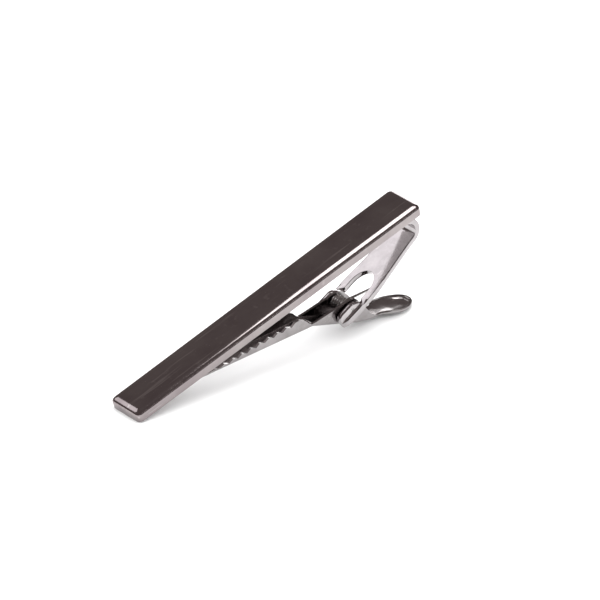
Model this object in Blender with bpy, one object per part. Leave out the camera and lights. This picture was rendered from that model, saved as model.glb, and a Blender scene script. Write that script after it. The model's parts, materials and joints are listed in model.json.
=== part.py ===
"""Tie bar with a sprung alligator clasp, modelled as it is assembled on the bench.

The parts are drawn in the bar's own frame, in millimetres: X runs along the bar from its plain end
to its arm end, Y across it, and Z out of its front face, with Z = 0 on its back. An empty then
tips that frame so that the clip lies on its plain end and its thumb paddle, as it does on a table,
with the origin at the bottom centre of its bounding box.
"""

import math

import bmesh
import bpy
from mathutils import Matrix, Vector

MM = 0.001

# Front bar
BAR_LENGTH = 58.9
BAR_WIDTH = 7.0           # at the plain end
BAR_FLARE = 0.5           # wider by this at the arm end
BAR_THICK = 1.9
BAR_CORNER = 0.9          # plan radius of the four corners
SHOULDER_WIDE = 1.3       # the pillowed edge, measured in from each side
SHOULDER_HIGH = 0.7       # and down from the front face
BACK_EASE = 0.12          # eased edge round the back

# Bridge arm: one strip, brazed flat under the bar, bent back and forked round the lever
STRIP_THICK = 0.9
FOOT_START = 48.4
FOOT_GAP = 0.16           # room for the braze between the foot and the bar
BEND_X = 56.0
BEND_RADIUS = 1.9         # to the middle of the strip
SLOPE_START = 22.0        # degrees the arm falls away from the bar after the bend
SLOPE_FALL = 10.0         # degrees less than that at the fork's ends
FOOT_HALF = 2.5
BEND_HALF = 2.6
FORK_HALF = 3.45
FLARE_FROM = 56.0
FLARE_TO = 44.5
EYE_CENTRE = 46.3
EYE_LONG = 2.8            # from the eye's centre to its rounded end
EYE_HALF = 2.05
EAR_END = 39.6
EAR_HIGH = 1.75           # above the middle of the strip
EAR_BEND = 0.7            # radius to the middle of the strip
EAR_FULL = (40.7, 42.5)   # the ear has its full height between these
EAR_START = 45.2

# Braze between the foot and the bar
BRAZE_THICK = 0.10
BRAZE_GAP = 0.03
BRAZE_PROUD = 0.25

# Pivot
PIVOT_X = 42.1
PIVOT_Z = -8.2
PIN_RADIUS = 0.42
PIN_HALF = 3.0
PIN_DOME = 0.1
EAR_HOLE_GAP = 0.03
LEVER_HOLE_GAP = 0.07

# Jaw lever: one stamped channel with a toothed jaw, a boxed body and a dished thumb paddle
SHEET = 0.42
FLOOR = ((7.0, -0.66), (34.0, -6.86), (35.1, -7.05), (40.5, -10.45), (43.0, -12.1),
         (47.0, -13.95), (50.0, -15.3), (52.4, -16.2), (54.3, -16.55))
WALL_TOP = ((14.6, -1.98), (33.2, -4.27), (34.1, -5.0), (34.75, -6.2), (34.95, -6.45), (35.2, -6.45),
            (35.7, -6.55), (39.0, -6.8), (43.1, -7.1), (43.8, -7.5), (44.6, -9.0), (45.4, -11.1),
            (46.0, -12.4), (46.7, -13.25), (47.6, -13.5), (48.9, -13.75), (50.6, -14.5),
            (52.4, -15.2), (54.3, -15.7))
LEVER_HALF = ((7.0, 0.75), (7.35, 1.1), (14.0, 1.3), (33.0, 1.75), (36.0, 1.85), (45.0, 1.85),
              (46.9, 1.6), (47.6, 1.62))
PADDLE_CENTRE = 50.65
PADDLE_LONG = 3.65
PADDLE_HALF = 2.7
CHANNEL_ROUND = 0.55
PADDLE_ROUND = 0.6        # the dish's round, as a share of the paddle's half width
LIP = 0.05                # least height of a wall over the floor
TOOTH_FIRST = 16.6
TOOTH_PITCH = 1.75
TOOTH_COUNT = 9
TOOTH_DEEP = 0.45

# Torsion spring
WIRE = 0.45
COIL_RADIUS = 1.0         # to the middle of the wire
COIL_PITCH = 0.5
COIL_FROM = 80.4          # degrees round the pin where the arm's leg leaves the coil
COIL_TO = 235.0           # and where the lever's leg leaves it, after the whole turns
COIL_TURNS = 4
ARM_LEG = ((48.3, -8.7), (51.6, -6.98))
LEVER_LEG = ((46.3, -12.62), (47.0, -12.95))

# Facets
CORNER_STEPS = 5
FOOT_RUNS = 6
BEND_RUNS = 14
SHOULDER_STEPS = 5
TURN_STEPS = 18


def smooth(value):
    """0 below 0, 1 above 1, and an even curve between."""
    value = min(max(value, 0.0), 1.0)
    return value * value * (3.0 - 2.0 * value)


def along(points, x):
    """The height of a chain of points at x, by straight runs."""
    if x <= points[0][0]:
        return points[0][1]
    for (x0, z0), (x1, z1) in zip(points, points[1:]):
        if x <= x1:
            return z0 + (z1 - z0) * (x - x0) / (x1 - x0)
    return points[-1][1]


def spaced(start, stop, count):
    """count + 1 values from start to stop."""
    return [start + (stop - start) * i / count for i in range(count + 1)]


def material(name, color, roughness):
    made = bpy.data.materials.new(name)
    made.use_nodes = True
    shader = made.node_tree.nodes["Principled BSDF"]
    shader.inputs["Base Color"].default_value = (*color, 1.0)
    shader.inputs["Roughness"].default_value = roughness
    shader.inputs["Metallic"].default_value = 1.0
    return made


def add_object(name, mesh, parent, finish, about=(0.0, 0.0, 0.0)):
    """Links a mesh drawn in the bar's frame, with its origin moved to the point about."""
    mesh.transform(Matrix.Translation(-Vector(about)))
    mesh.transform(Matrix.Scale(MM, 4))
    mesh.materials.append(finish)
    mesh.shade_smooth()
    mesh.set_sharp_from_angle(angle=math.radians(32.0))
    made = bpy.data.objects.new(name, mesh)
    bpy.context.scene.collection.objects.link(made)
    made.parent = parent
    return made


def loft(name, rings):
    """A closed mesh through rings of equal length, capped at both ends."""
    shape = bmesh.new()
    rows = [[shape.verts.new(point) for point in ring] for ring in rings]
    count = len(rows[0])
    for low, high in zip(rows, rows[1:]):
        for i in range(count):
            j = (i + 1) % count
            shape.faces.new((low[i], low[j], high[j], high[i]))
    shape.faces.new(rows[0])
    shape.faces.new(rows[-1])
    return finished(name, shape)


def finished(name, shape):
    """The bmesh as a mesh, with its normals outward."""
    bmesh.ops.recalc_face_normals(shape, faces=shape.faces)
    mesh = bpy.data.meshes.new(name)
    shape.to_mesh(mesh)
    shape.free()
    return mesh


def rounded_rectangle(x0, x1, half, radius, z):
    """A ring of points round a rectangle with round corners."""
    corners = ((x1 - radius, half - radius, 0.0), (x0 + radius, half - radius, 90.0),
               (x0 + radius, radius - half, 180.0), (x1 - radius, radius - half, 270.0))
    ring = []
    for cx, cy, start in corners:
        for angle in spaced(start, start + 90.0, CORNER_STEPS):
            turn = math.radians(angle)
            ring.append(Vector((cx + radius * math.cos(turn), cy + radius * math.sin(turn), z)))
    return ring


def bar_mesh():
    """Flat bar, a little wider towards its arm end, whose four front edges roll over in one shoulder."""
    levels = [(BACK_EASE, 0.0), (0.0, BACK_EASE)]
    for angle in spaced(0.0, 90.0, SHOULDER_STEPS):
        turn = math.radians(angle)
        inset = SHOULDER_WIDE * (1.0 - math.cos(turn))
        levels.append((inset, BAR_THICK - SHOULDER_HIGH * (1.0 - math.sin(turn))))
    rings = []
    for inset, z in levels:
        radius = max(BAR_CORNER - 0.7 * inset, 0.1)
        ring = rounded_rectangle(inset, BAR_LENGTH - inset, BAR_WIDTH / 2 - inset, radius, z)
        for point in ring:
            point.y *= 1.0 + BAR_FLARE / BAR_WIDTH * point.x / BAR_LENGTH
        rings.append(ring)
    return loft("front_bar", rings)


def arm_slope(x):
    """Degrees that the arm falls at x, less and less towards the fork's ends."""
    return SLOPE_START - SLOPE_FALL * (BEND_X - x) / (BEND_X - EAR_END)


def strip_line():
    """(x, z, heading) along the middle of the strip, from the foot's end to the fork's ends."""
    z = -FOOT_GAP - STRIP_THICK / 2
    line = [(x, z, 0.0) for x in spaced(FOOT_START, BEND_X, FOOT_RUNS)[:-1]]
    last = math.radians(180.0 - SLOPE_START)
    for heading in spaced(0.0, -last, BEND_RUNS):
        line.append((BEND_X - BEND_RADIUS * math.sin(heading),
                     z - BEND_RADIUS * (1.0 - math.cos(heading)), heading))
    x, z, heading = line[-1]
    eye_end = EYE_CENTRE + EYE_LONG
    stops = spaced(x, eye_end, 6)[1:]
    stops += [EYE_CENTRE + EYE_LONG * math.cos(math.radians(a)) for a in (12, 24, 36, 48, 60, 75, 90)]
    stops += spaced(EAR_START, EAR_FULL[1], 6) + spaced(EAR_FULL[1], EAR_FULL[0], 2)[1:]
    nose = EAR_FULL[0] - EAR_END
    stops += [EAR_FULL[0] - nose * math.sin(math.radians(a)) for a in (25, 45, 62, 76, 90)]
    for stop in stops:
        slope = math.radians(arm_slope((x + stop) / 2))
        z -= (x - stop) * math.tan(slope)
        x = stop
        line.append((x, z, math.radians(arm_slope(x) - 180.0)))
    return line


def strip_half(x, on_arm):
    """Half the strip's width, narrowed round its two ends."""
    if not on_arm:
        return FOOT_HALF + (BEND_HALF - FOOT_HALF) * smooth((x - FOOT_START) / (BEND_X - FOOT_START))
    half = BEND_HALF + (FORK_HALF - BEND_HALF) * smooth((FLARE_FROM - x) / (FLARE_FROM - FLARE_TO))
    nose = max(EAR_FULL[0] + 0.2 - x, 0.0)
    return half - 0.55 * (nose / (EAR_FULL[0] + 0.2 - EAR_END)) ** 2


def eye_half(x, on_arm):
    """Half the eye's width, which is nothing before the eye and even along the fork."""
    reach = (x - EYE_CENTRE) / EYE_LONG
    if not on_arm or reach >= 1.0:
        return 0.0
    return EYE_HALF * math.sqrt(1.0 - max(reach, 0.0) ** 2)


def ear_height(x):
    """How far the fork's inner edge is turned up at x, over the middle of the strip."""
    if x > EAR_FULL[1]:
        return EAR_HIGH * smooth((EAR_START - x) / (EAR_START - EAR_FULL[1]))
    nose = max(EAR_FULL[0] - x, 0.0) / (EAR_FULL[0] - EAR_END)
    return EAR_HIGH - 0.85 * (1.0 - math.sqrt(max(1.0 - nose * nose, 0.0)))


def strip_section(x, on_arm, count=8):
    """Points across one half of the strip, outer edge first, each (y, height, normal's y, normal's up)."""
    outer = strip_half(x, on_arm)
    inner = eye_half(x, on_arm)
    high = ear_height(x) if on_arm and x < EAR_START else 0.0
    if high <= 0.0:
        return [(y, 0.0, 0.0, 1.0) for y in spaced(outer, inner, count)]
    fold = STRIP_THICK / 2
    radius = min(EAR_BEND, outer - inner - fold - 0.05)
    share = min(high / radius, 1.0)
    turn = share * math.pi / 2
    centre = inner + share * fold + radius * math.sin(turn)
    section = [(outer, 0.0, 0.0, 1.0), ((outer + centre) / 2, 0.0, 0.0, 1.0)]
    for angle in spaced(0.0, turn, count - 3):
        section.append((centre - radius * math.sin(angle), radius * (1.0 - math.cos(angle)),
                        math.sin(angle), math.cos(angle)))
    y, top, _, _ = section[-1]
    rest = max(high - radius, 0.0) + 0.04
    section.append((y - rest * math.cos(turn), top + rest * math.sin(turn), math.sin(turn), math.cos(turn)))
    return section


def arm_mesh():
    """The strip as one closed body: its two faces, half a thickness either side of its middle, and its edges."""
    shape = bmesh.new()
    line = strip_line()
    arm_first = FOOT_RUNS + BEND_RUNS
    under = {}
    halves = ([], [])
    for i, (x, z, heading) in enumerate(line):
        up = Vector((math.sin(heading), 0.0, -math.cos(heading)))
        section = strip_section(x, i >= arm_first)
        shared = None
        for side, rows in zip((1.0, -1.0), halves):
            row = []
            for y, high, across, rise in section:
                if y < 1e-6 and shared is not None:
                    row.append(shared)
                    continue
                middle = Vector((x, side * y, z)) + up * high
                normal = Vector((0.0, side * across, 0.0)) + up * rise
                row.append(shape.verts.new(middle + normal * STRIP_THICK / 2))
                under[row[-1]] = shape.verts.new(middle - normal * STRIP_THICK / 2)
                if y < 1e-6:
                    shared = row[-1]
            rows.append(row)
    tops = []
    for rows in halves:
        for low, high in zip(rows, rows[1:]):
            for j in range(len(low) - 1):
                tops.append(shape.faces.new((low[j], low[j + 1], high[j + 1], high[j])))
    rim = [edge.verts[:] for edge in shape.edges if len(edge.link_faces) == 1]
    for face in tops:
        shape.faces.new([under[vertex] for vertex in face.verts])
    for first, second in rim:
        shape.faces.new((first, second, under[second], under[first]))
    return finished("bridge_arm", shape)


def tube_mesh(name, radius, ends, axis_x, axis_z, steps=24):
    """A pin along Y with domed ends. ends are (y, share of the radius) from one end to the other."""
    rings = []
    for y, share in ends:
        ring = []
        for i in range(steps):
            turn = 2.0 * math.pi * i / steps
            ring.append(Vector((axis_x + share * radius * math.cos(turn), y,
                                axis_z + share * radius * math.sin(turn))))
        rings.append(ring)
    return loft(name, rings)


def cutter(name, radius, half):
    """A hidden cylinder along the pivot's axis, as a Boolean's cutter."""
    mesh = tube_mesh(name, radius, ((-half, 1.0), (half, 1.0)), PIVOT_X, PIVOT_Z)
    mesh.transform(Matrix.Scale(MM, 4))
    made = bpy.data.objects.new(name, mesh)
    bpy.context.scene.collection.objects.link(made)
    made.hide_render = True
    made.display_type = "WIRE"
    return made


def cut(target, tool):
    """Cuts the tool from the target with an exact Boolean."""
    modifier = target.modifiers.new("pivot_hole", "BOOLEAN")
    modifier.operation = "DIFFERENCE"
    modifier.solver = "EXACT"
    modifier.object = tool


def paddle_half(x):
    """Half the thumb paddle's width at x, nothing outside it."""
    reach = (x - PADDLE_CENTRE) / PADDLE_LONG
    return PADDLE_HALF * math.sqrt(max(1.0 - reach * reach, 0.0))


def lever_half(x):
    """Half the lever's outer width at x: the channel, the neck, then the oval paddle."""
    if x > PADDLE_CENTRE:
        return max(paddle_half(x), 0.25)
    return max(along(LEVER_HALF, x), paddle_half(x))


def tooth_cut(x):
    """Depth of the tooth notch at x: a row of V cuts along the jaw's walls."""
    place = (x - TOOTH_FIRST) / TOOTH_PITCH
    if place < 0.0 or place > TOOTH_COUNT:
        return 0.0
    return TOOTH_DEEP * (1.0 - abs(2.0 * (place % 1.0) - 1.0))


def lever_ring(x):
    """The lever's U section at x, as one ring of points."""
    floor = along(FLOOR, x)
    slope = (along(FLOOR, x + 0.3) - along(FLOOR, x - 0.3)) / 0.6
    thick = SHEET * math.sqrt(1.0 + slope * slope)
    top = along(WALL_TOP, x) - tooth_cut(x) if x > WALL_TOP[0][0] else -99.0
    top = max(top, floor + thick + LIP)
    outer = lever_half(x)
    inner = max(outer - SHEET, 0.1)
    share = smooth((x - 46.0) / 3.0)
    wide = CHANNEL_ROUND + (PADDLE_ROUND * outer - CHANNEL_ROUND) * share
    wide = min(wide, 0.85 * outer)
    high = min(CHANNEL_ROUND + 0.5 * share, 0.9 * (top - floor))
    thick += (top - floor - thick - 0.03) * smooth((x - PADDLE_CENTRE - PADDLE_LONG + 0.75) / 0.5)
    inner_wide = min(max(wide - SHEET, 0.15), 0.85 * inner)
    inner_high = min(max(high - 0.3 * SHEET, 0.12), 0.8 * (top - floor - thick))
    out = [(outer, top)]
    for angle in spaced(0.0, math.pi / 2, 4):
        out.append((outer - wide * (1.0 - math.cos(angle)), floor + high * (1.0 - math.sin(angle))))
    within = [(inner, top)]
    for angle in spaced(0.0, math.pi / 2, 4):
        within.append((inner - inner_wide * (1.0 - math.cos(angle)),
                       floor + thick + inner_high * (1.0 - math.sin(angle))))
    ring = out + [(-y, z) for y, z in reversed(out)]
    ring += [(-y, z) for y, z in within] + list(reversed(within))
    return [Vector((x, y, z)) for y, z in ring]


def lever_stations():
    """Where the lever's sections are taken, from the jaw's tip to the paddle's end."""
    stations = [7.0, 7.15, 7.35, 9.5, 12.0, 14.0, 14.6, 15.6]
    stations += [TOOTH_FIRST + TOOTH_PITCH * i / 2 for i in range(2 * TOOTH_COUNT + 1)]
    stations += [x for x, _ in WALL_TOP[1:-1]] + [37.0, 41.0, 45.0, 49.7, 51.6]
    stations += [PADDLE_CENTRE + PADDLE_LONG * math.sin(math.radians(a)) for a in (38, 50, 61, 71, 80, 86)]
    return sorted(set(round(x, 4) for x in stations))


def lever_mesh():
    return loft("jaw_lever", [lever_ring(x) for x in lever_stations()])


def spring_path():
    """The wire's middle: the arm's leg, the coil round the pin, then the lever's leg."""
    total = 360.0 * COIL_TURNS + COIL_TO - COIL_FROM
    steps = round(TURN_STEPS * total / 360.0)
    reach = COIL_PITCH * total / 360.0 / 2.0
    coil = []
    for i in range(steps + 1):
        turn = math.radians(COIL_FROM + total * i / steps)
        coil.append(Vector((PIVOT_X + COIL_RADIUS * math.cos(turn), -reach + 2.0 * reach * i / steps,
                            PIVOT_Z + COIL_RADIUS * math.sin(turn))))
    first = [Vector((x, -reach, z)) for x, z in reversed(ARM_LEG)]
    last = [Vector((x, reach, z)) for x, z in LEVER_LEG]
    return leg_points(first, coil[0]) + coil + list(reversed(leg_points(last[::-1], coil[-1])))


def leg_points(leg, start, count=4):
    """Points from a leg's free end to the coil, with its straight run divided evenly."""
    points = [leg[0]]
    for share in spaced(0.0, 1.0, count)[:-1]:
        points.append(leg[1].lerp(start, share))
    return points


def wire_mesh(path, radius, sides=8):
    """A round wire along a path, its sections turned as little as possible."""
    rings = []
    across = Vector((0.0, 1.0, 0.0))
    for i, point in enumerate(path):
        before = path[max(i - 1, 0)]
        after = path[min(i + 1, len(path) - 1)]
        tangent = (after - before).normalized()
        across = (across - tangent * across.dot(tangent)).normalized()
        other = tangent.cross(across)
        ring = []
        for k in range(sides):
            turn = 2.0 * math.pi * k / sides
            ring.append(point + radius * (math.cos(turn) * across + math.sin(turn) * other))
        rings.append(ring)
    return loft("torsion_spring", rings)


def braze_mesh():
    """The thin bed of filler that shows as a rim round the arm's foot."""
    top = -BRAZE_GAP
    levels = ((BRAZE_PROUD, top), (0.0, top - BRAZE_THICK))
    rings = []
    for proud, z in levels:
        rings.append(rounded_rectangle(FOOT_START - proud, BEND_X + proud, FOOT_HALF + proud, 0.6, z))
    return loft("braze_seam", rings)


def rest_pitch():
    """The angle at which the clip lies on the bar's plain end and the paddle's underside."""
    return max(math.atan2(-z, x) for x, z in FLOOR)


def stand_on_origin(root, pieces):
    """Moves the root so that the bounding box's bottom centre is the origin."""
    bpy.context.view_layer.update()
    graph = bpy.context.evaluated_depsgraph_get()
    corners = []
    for piece in pieces:
        ready = piece.evaluated_get(graph)
        mesh = ready.to_mesh()
        corners += [ready.matrix_world @ vertex.co for vertex in mesh.vertices]
        ready.to_mesh_clear()
    low = Vector(min(c[i] for c in corners) for i in range(3))
    high = Vector(max(c[i] for c in corners) for i in range(3))
    root.location -= Vector(((low.x + high.x) / 2, (low.y + high.y) / 2, low.z))


def clear_scene():
    for item in list(bpy.data.objects):
        bpy.data.objects.remove(item, do_unlink=True)


def empty(name, parent=None, location=(0.0, 0.0, 0.0)):
    made = bpy.data.objects.new(name, None)
    made.empty_display_size = 0.005
    bpy.context.scene.collection.objects.link(made)
    made.parent = parent
    made.location = location
    return made


def main():
    clear_scene()
    root = empty("bar_frame")
    pivot = (PIVOT_X, 0.0, PIVOT_Z)
    hinge = empty("lever_hinge", root, Vector(pivot) * MM)
    plated = (0.30, 0.285, 0.29)

    bar = add_object("front_bar", bar_mesh(), root, material("gunmetal_bar", plated, 0.12))

    arm = add_object("bridge_arm", arm_mesh(), root, material("gunmetal_arm", plated, 0.14))
    ear_tool = cutter("ear_cutter", PIN_RADIUS + EAR_HOLE_GAP, PIN_HALF + EAR_HOLE_GAP)
    ear_tool.parent = root
    cut(arm, ear_tool)

    braze = add_object("braze_seam", braze_mesh(), root, material("braze_filler", (0.42, 0.40, 0.38), 0.35))

    pin_ends = ((-PIN_HALF, 0.55), (PIN_DOME * 0.35 - PIN_HALF, 0.86), (PIN_DOME - PIN_HALF, 1.0),
                (PIN_HALF - PIN_DOME, 1.0), (PIN_HALF - PIN_DOME * 0.35, 0.86), (PIN_HALF, 0.55))
    pin = add_object("pivot_pin", tube_mesh("pivot_pin", PIN_RADIUS, pin_ends, PIVOT_X, PIVOT_Z), hinge,
                     material("steel_pin", (0.5, 0.49, 0.48), 0.2), pivot)

    spring = add_object("torsion_spring", wire_mesh(spring_path(), WIRE / 2), hinge,
                        material("spring_steel", (0.45, 0.44, 0.43), 0.22), pivot)

    lever = add_object("jaw_lever", lever_mesh(), hinge, material("gunmetal_lever", plated, 0.16), pivot)
    lever_tool = cutter("lever_cutter", PIN_RADIUS + LEVER_HOLE_GAP, BAR_WIDTH)
    lever_tool.parent = root
    cut(lever, lever_tool)

    root.rotation_euler = (0.0, -rest_pitch(), 0.0)
    stand_on_origin(root, (bar, arm, braze, pin, spring, lever))


main()
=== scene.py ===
"""Looks of a tie bar with a sprung alligator clasp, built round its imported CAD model.

Each piece is drawn in millimetres in the bar's own frame: X runs along the bar from its plain end
to its arm end, Y across it, and Z out of its front face, with Z = 0 on its back. RestPlace then
carries a finished mesh into the model's frame, where the clip lies on its plain end and its paddle.
"""

import json
import logging
import math
from dataclasses import dataclass
from enum import Enum
from typing import Any, ClassVar, Iterable, Sequence, Union

import bmesh
import bpy
from mathutils import Matrix, Quaternion, Vector

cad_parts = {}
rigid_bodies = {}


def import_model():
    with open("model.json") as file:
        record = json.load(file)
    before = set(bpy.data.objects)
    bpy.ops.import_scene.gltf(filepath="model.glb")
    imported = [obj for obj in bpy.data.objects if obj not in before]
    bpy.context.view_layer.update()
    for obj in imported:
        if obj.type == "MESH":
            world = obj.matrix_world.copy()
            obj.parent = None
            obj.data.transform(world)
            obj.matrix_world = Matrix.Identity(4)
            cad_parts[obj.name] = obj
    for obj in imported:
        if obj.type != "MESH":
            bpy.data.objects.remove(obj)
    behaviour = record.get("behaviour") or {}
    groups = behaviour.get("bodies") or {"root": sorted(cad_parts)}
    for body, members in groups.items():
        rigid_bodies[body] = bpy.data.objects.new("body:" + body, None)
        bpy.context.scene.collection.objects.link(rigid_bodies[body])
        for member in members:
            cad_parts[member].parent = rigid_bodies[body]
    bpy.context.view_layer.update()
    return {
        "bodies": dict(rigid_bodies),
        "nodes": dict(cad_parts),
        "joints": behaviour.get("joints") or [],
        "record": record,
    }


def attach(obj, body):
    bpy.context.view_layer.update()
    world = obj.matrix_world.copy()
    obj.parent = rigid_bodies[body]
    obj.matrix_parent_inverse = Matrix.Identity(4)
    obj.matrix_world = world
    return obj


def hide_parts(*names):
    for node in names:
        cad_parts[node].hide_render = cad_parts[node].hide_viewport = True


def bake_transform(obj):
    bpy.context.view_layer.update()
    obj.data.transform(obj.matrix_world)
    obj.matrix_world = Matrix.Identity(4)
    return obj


MM = 0.001
LOG = logging.getLogger("tie_bar")

Ring = list[Vector]
Profile = tuple[tuple[float, float], ...]
Colour = tuple[float, float, float]
Span = tuple[float, float]


class Body(Enum):
    """The CAD bodies that a piece can ride on."""

    FRAME = "frame"
    LEVER = "lever"


class Grain(Enum):
    """Which way the fine lines of a finish run, as the stretch of the pattern along X, Y and Z."""

    STREAK = (0.025, 1.0, 1.0)
    LENGTHWISE = (0.06, 1.0, 1.0)
    CROSSWISE = (1.0, 0.06, 1.0)
    EVEN = (1.0, 1.0, 1.0)


# ---- Numbers and meshes ----


def smooth(value: float) -> float:
    """Returns 0 below 0, 1 above 1, and an even curve between."""
    value = min(max(value, 0.0), 1.0)
    return value * value * (3.0 - 2.0 * value)


def spaced(start: float, stop: float, count: int) -> list[float]:
    """Returns count + 1 values from start to stop."""
    return [start + (stop - start) * i / count for i in range(count + 1)]


def arc(start: float, stop: float, count: int) -> list[float]:
    """Returns count + 1 angles in radians, from start to stop in degrees."""
    return [math.radians(angle) for angle in spaced(start, stop, count)]


def along(points: Profile, x: float) -> float:
    """Reads a chain of points at x by straight runs.

    Args:
        points: (x, value) pairs in rising x.
        x: Where to read.

    Returns:
        The value there, held level past both ends.
    """
    if x <= points[0][0]:
        return points[0][1]
    for (x0, z0), (x1, z1) in zip(points, points[1:]):
        if x <= x1:
            return z0 + (z1 - z0) * (x - x0) / (x1 - x0)
    return points[-1][1]


def eased(points: Profile, x: float, reach: float) -> float:
    """Reads a chain of points at x with its corners rounded.

    Args:
        points: (x, value) pairs in rising x.
        x: Where to read.
        reach: How far to each side the corner's rounding reads.

    Returns:
        The mean of the chain from x - reach to x + reach.
    """
    steps = 8
    reads = [along(points, x + reach * (i / steps * 2.0 - 1.0)) for i in range(steps + 1)]
    return sum(reads) / len(reads)


def rounded_rectangle(x0: float, x1: float, half: float, radius: float, z: float, steps: int) -> Ring:
    """Draws a rectangle with round corners, even either side of the bar's middle.

    Args:
        x0: Its low end.
        x1: Its high end.
        half: Half its width.
        radius: The corners' radius.
        z: Its height.
        steps: Steps round each corner.

    Returns:
        The ring of points.
    """
    corners = (
        (x1 - radius, half - radius, 0.0),
        (x0 + radius, half - radius, 90.0),
        (x0 + radius, radius - half, 180.0),
        (x1 - radius, radius - half, 270.0),
    )
    ring = []
    for cx, cy, start in corners:
        for turn in arc(start, start + 90.0, steps):
            ring.append(Vector((cx + radius * math.cos(turn), cy + radius * math.sin(turn), z)))
    return ring


def mesh_from(shape: bmesh.types.BMesh, name: str) -> bpy.types.Mesh:
    """Merges doubles, turns the faces outward and frees the bmesh.

    Args:
        shape: The bmesh to finish.
        name: The mesh's name.

    Returns:
        The finished mesh.
    """
    bmesh.ops.remove_doubles(shape, verts=shape.verts, dist=1e-5)
    bmesh.ops.recalc_face_normals(shape, faces=shape.faces)
    mesh = bpy.data.meshes.new(name)
    shape.to_mesh(mesh)
    shape.free()
    return mesh


def loft(name: str, rings: Sequence[Ring]) -> bpy.types.Mesh:
    """Joins rings of equal length into one closed mesh.

    Args:
        name: The mesh's name.
        rings: The rings in order. Both end rings are capped.

    Returns:
        The closed mesh.
    """
    shape = bmesh.new()
    rows = [[shape.verts.new(point) for point in ring] for ring in rings]
    count = len(rows[0])
    for low, high in zip(rows, rows[1:]):
        for i in range(count):
            j = (i + 1) % count
            shape.faces.new((low[i], low[j], high[j], high[i]))
    shape.faces.new(rows[0])
    shape.faces.new(rows[-1])
    return mesh_from(shape, name)


# ---- Shader nodes ----

Number = Union["Signal", float]


class Signal:
    """A number socket of a material, with the arithmetic that the finishes use."""

    def __init__(self, shader: "Shader", socket: bpy.types.NodeSocket) -> None:
        """Wraps a socket of the shader's tree."""
        self.shader = shader
        self.socket = socket

    def _maths(self, operation: str, first: Number, second: Number) -> "Signal":
        """Adds a Math node and returns its output."""
        return self.shader.node("ShaderNodeMath", {"operation": operation}, {0: first, 1: second})

    def __add__(self, other: Number) -> "Signal":
        """Returns self + other."""
        return self._maths("ADD", self, other)

    __radd__ = __add__

    def __mul__(self, other: Number) -> "Signal":
        """Returns self * other."""
        return self._maths("MULTIPLY", self, other)

    __rmul__ = __mul__


class Shader:
    """A new material's node tree, and the one way in which nodes are added to it."""

    def __init__(self, name: str) -> None:
        """Starts an empty tree under a material of that name."""
        self.material = bpy.data.materials.new(name)
        self.material.use_nodes = True
        self.tree = self.material.node_tree
        self.tree.nodes.clear()

    def raw(self, kind: str, settings: dict[str, Any], inputs: dict[Any, Any]) -> bpy.types.Node:
        """Adds a node.

        Args:
            kind: The node's type.
            settings: Its properties, set first.
            inputs: Values, sockets or Signals, by the socket's name or number.

        Returns:
            The node.
        """
        made = self.tree.nodes.new(kind)
        for key, value in settings.items():
            setattr(made, key, value)
        for key, value in inputs.items():
            if isinstance(value, Signal):
                value = value.socket
            if isinstance(value, bpy.types.NodeSocket):
                self.tree.links.new(value, made.inputs[key])
            else:
                made.inputs[key].default_value = value
        return made

    def node(self, kind: str, settings: dict[str, Any], inputs: dict[Any, Any], out: Any = 0) -> Signal:
        """Adds a node and returns one of its outputs as a Signal."""
        return Signal(self, self.raw(kind, settings, inputs).outputs[out])

    def place(self, stretch: Sequence[float], pitch: float) -> Signal:
        """Turns Object coordinates in line with the bar and stretches them.

        Args:
            stretch: How fast the pattern runs along the bar, across it and through it.
            pitch: The bar's turn about Y, in radians.

        Returns:
            The coordinates.
        """
        where = self.raw("ShaderNodeTexCoord", {}, {})
        inputs = {
            "Vector": where.outputs["Object"],
            "Rotation": (0.0, pitch, 0.0),
            "Scale": tuple(1.0 / share for share in stretch),
        }
        return self.node("ShaderNodeMapping", {"vector_type": "TEXTURE"}, inputs)

    def noise(self, where: Signal, scale: float, detail: float) -> Signal:
        """Returns a noise from 0 to 1, with features of about 1 / scale metres."""
        inputs = {"Vector": where, "Scale": scale, "Detail": detail, "Roughness": 0.6}
        return self.node("ShaderNodeTexNoise", {}, inputs, "Fac")

    def band(self, value: Signal, span: Span) -> Signal:
        """Returns value carried from the span to 0..1 and held there."""
        inputs = {"Value": value, "From Min": span[0], "From Max": span[1]}
        return self.node("ShaderNodeMapRange", {"clamp": True}, inputs)

    def mix(self, share: Number, first: Any, second: Any) -> Signal:
        """Returns a mix of two colours, each four numbers or a socket."""
        return self.node("ShaderNodeMix", {"data_type": "RGBA"}, {0: share, 6: first, 7: second}, 2)


@dataclass(frozen=True)
class Wear:
    """How a finish's noises add up.

    Each span is the part of a noise that counts. The shares are how much each noise adds to the
    worn colour (scratches, spots, streaks), to the roughness (clouds, lines, scratches, streaks)
    and to the relief (lines, wide lines, flecks).
    """

    tint_span: Span = (0.35, 0.68)
    cloud_span: Span = (0.3, 0.75)
    streak_span: Span = (0.62, 0.78)
    patch_span: Span = (0.45, 0.65)
    scratch_span: Span = (0.63, 0.72)
    spot_span: Span = (0.62, 0.74)
    worn_shares: tuple[float, float, float] = (0.4, 0.2, 0.35)
    rough_shares: tuple[float, float, float, float] = (0.45, 0.3, 0.3, 0.5)
    relief_shares: tuple[float, float, float] = (0.5, 0.7, 0.25)


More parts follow.
